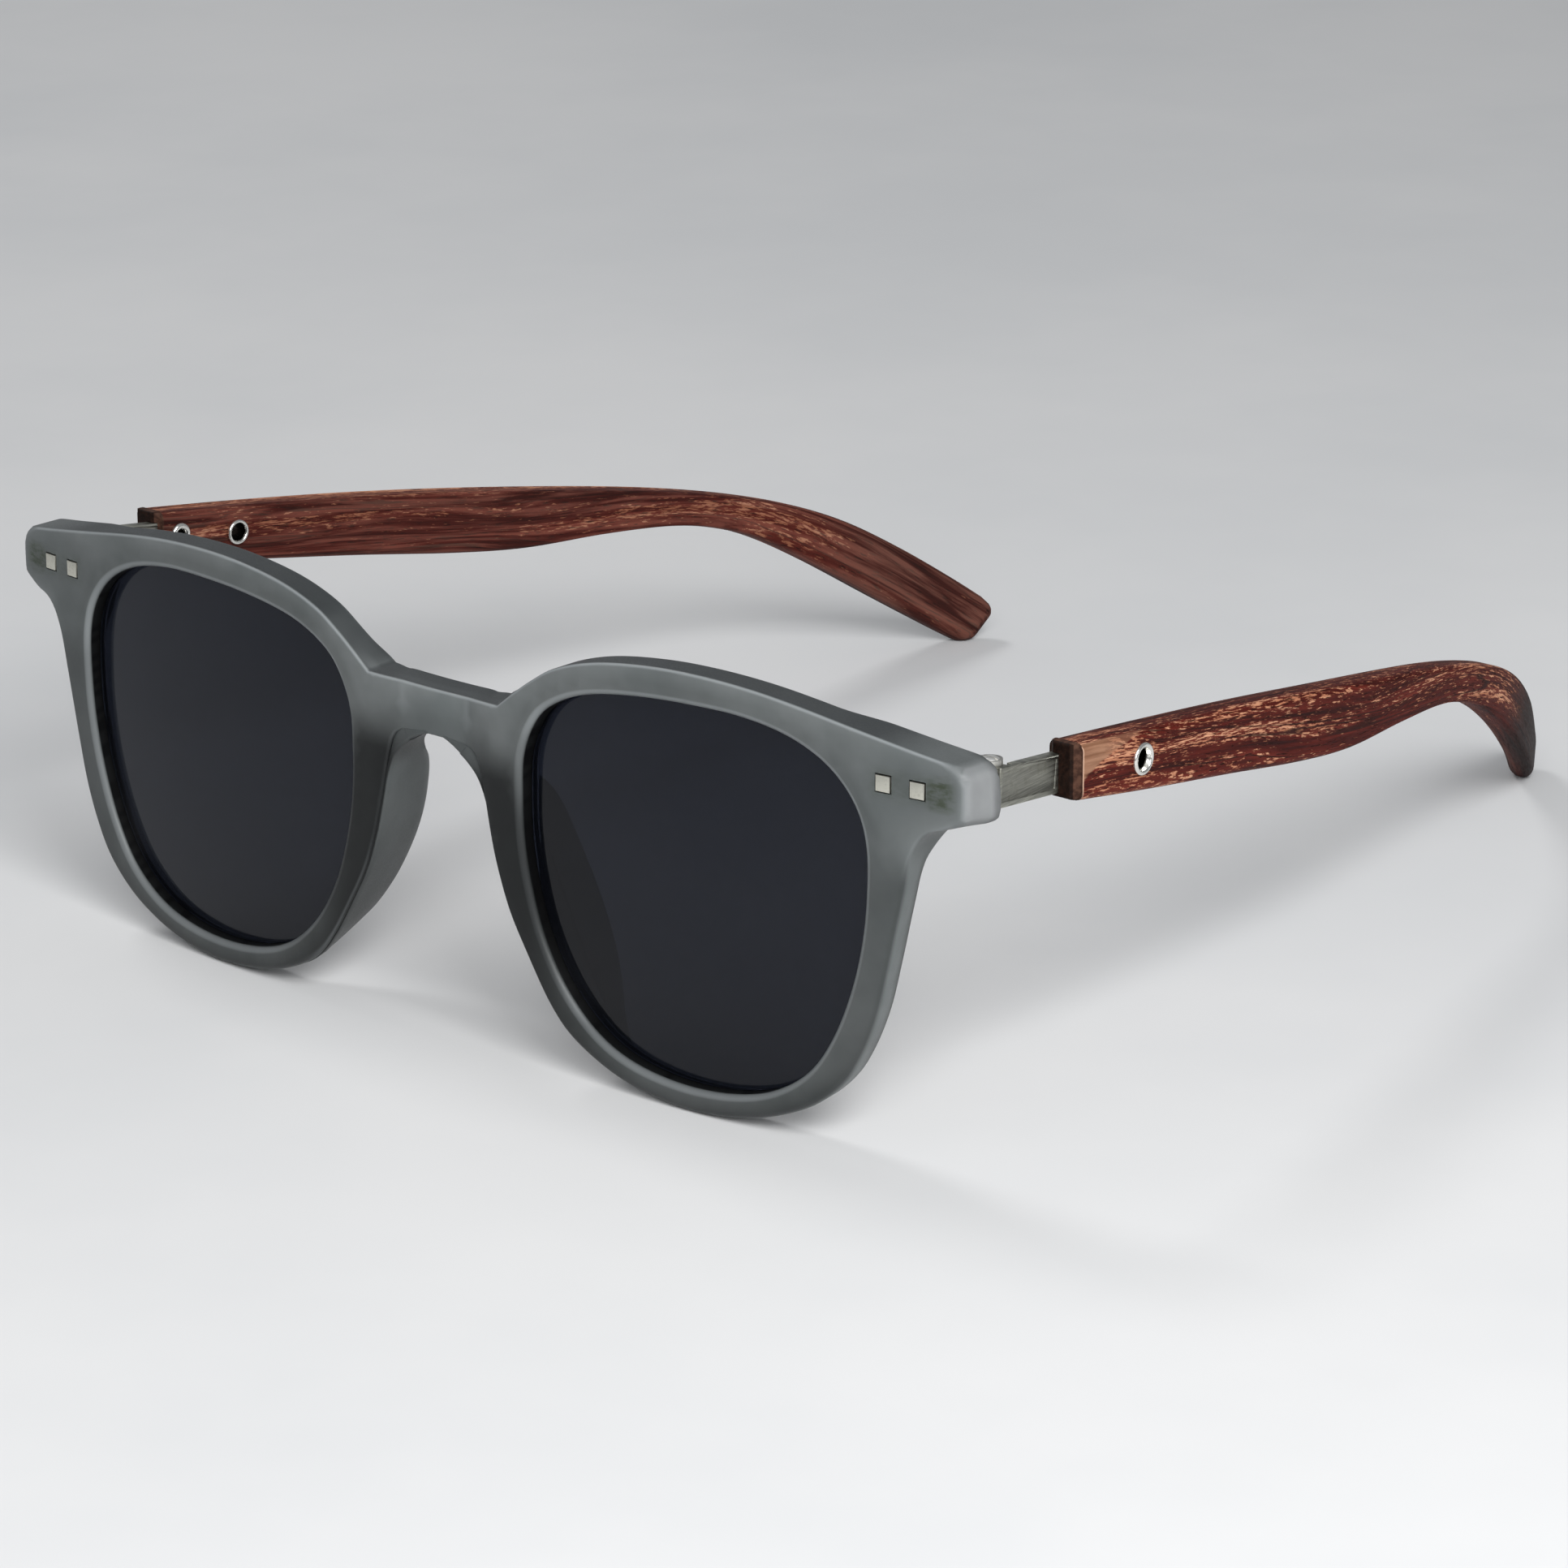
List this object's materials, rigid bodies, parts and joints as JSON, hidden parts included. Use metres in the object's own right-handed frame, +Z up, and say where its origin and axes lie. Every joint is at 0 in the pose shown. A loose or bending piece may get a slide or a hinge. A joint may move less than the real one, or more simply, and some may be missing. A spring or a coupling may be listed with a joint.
{
  "type": "folding sunglasses",
  "caption": "Folding sunglasses with a translucent smoke-grey plastic front, dark tinted lenses, steel hinge tongues and curved wooden temples that fold flat behind the lenses.",
  "frame": {"origin": "on the resting plane under the rims and temple tips, at the centre of the open glasses' bounding box", "axes": "+Z up from the resting plane, -Y the way the front faces, +Y back along the temples, +X the wearer's left"},
  "size_m": [0.1414, 0.1452, 0.0483],
  "materials": {
    "smoke_plastic": "matte translucent smoke grey with soft polished edges",
    "tinted_lens": "polished dark grey tint",
    "brushed_steel": "brushed lengthwise",
    "bright_metal": "polished nickel silver",
    "temple_wood": "oiled reddish-brown wood with dark and golden lengthwise grain"
  },
  "bodies": {
    "front": {"frame_front": "smoke_plastic", "nose_pad_left": "smoke_plastic", "nose_pad_right": "smoke_plastic", "lens_left": "tinted_lens", "lens_right": "tinted_lens", "hinge_plate_left": "brushed_steel", "hinge_plate_right": "brushed_steel", "front_rivet_left_inner": "bright_metal", "front_rivet_left_outer": "bright_metal", "front_rivet_right_inner": "bright_metal", "front_rivet_right_outer": "bright_metal", "hinge_screw_left": "bright_metal", "hinge_screw_right": "bright_metal"},
    "temple_left": {"hinge_tongue_left": "brushed_steel", "temple_wood_left": "temple_wood", "temple_eyelet_left": "bright_metal", "inner_rivet_left": "bright_metal"},
    "temple_right": {"hinge_tongue_right": "brushed_steel", "temple_wood_right": "temple_wood", "temple_eyelet_right": "bright_metal", "inner_rivet_right": "bright_metal"}
  },
  "joints": [
    {"name": "fold_left", "type": "hinge", "parent": "front", "child": "temple_left", "pos_m": [0.067, -0.05936, 0.04075], "axis": [0, 0.0342, 0.9994], "range_deg": [0, 80]},
    {"name": "fold_right", "type": "hinge", "parent": "front", "child": "temple_right", "pos_m": [-0.067, -0.05936, 0.04075], "axis": [0, -0.0342, -0.9994], "range_deg": [0, 70]}
  ]
}
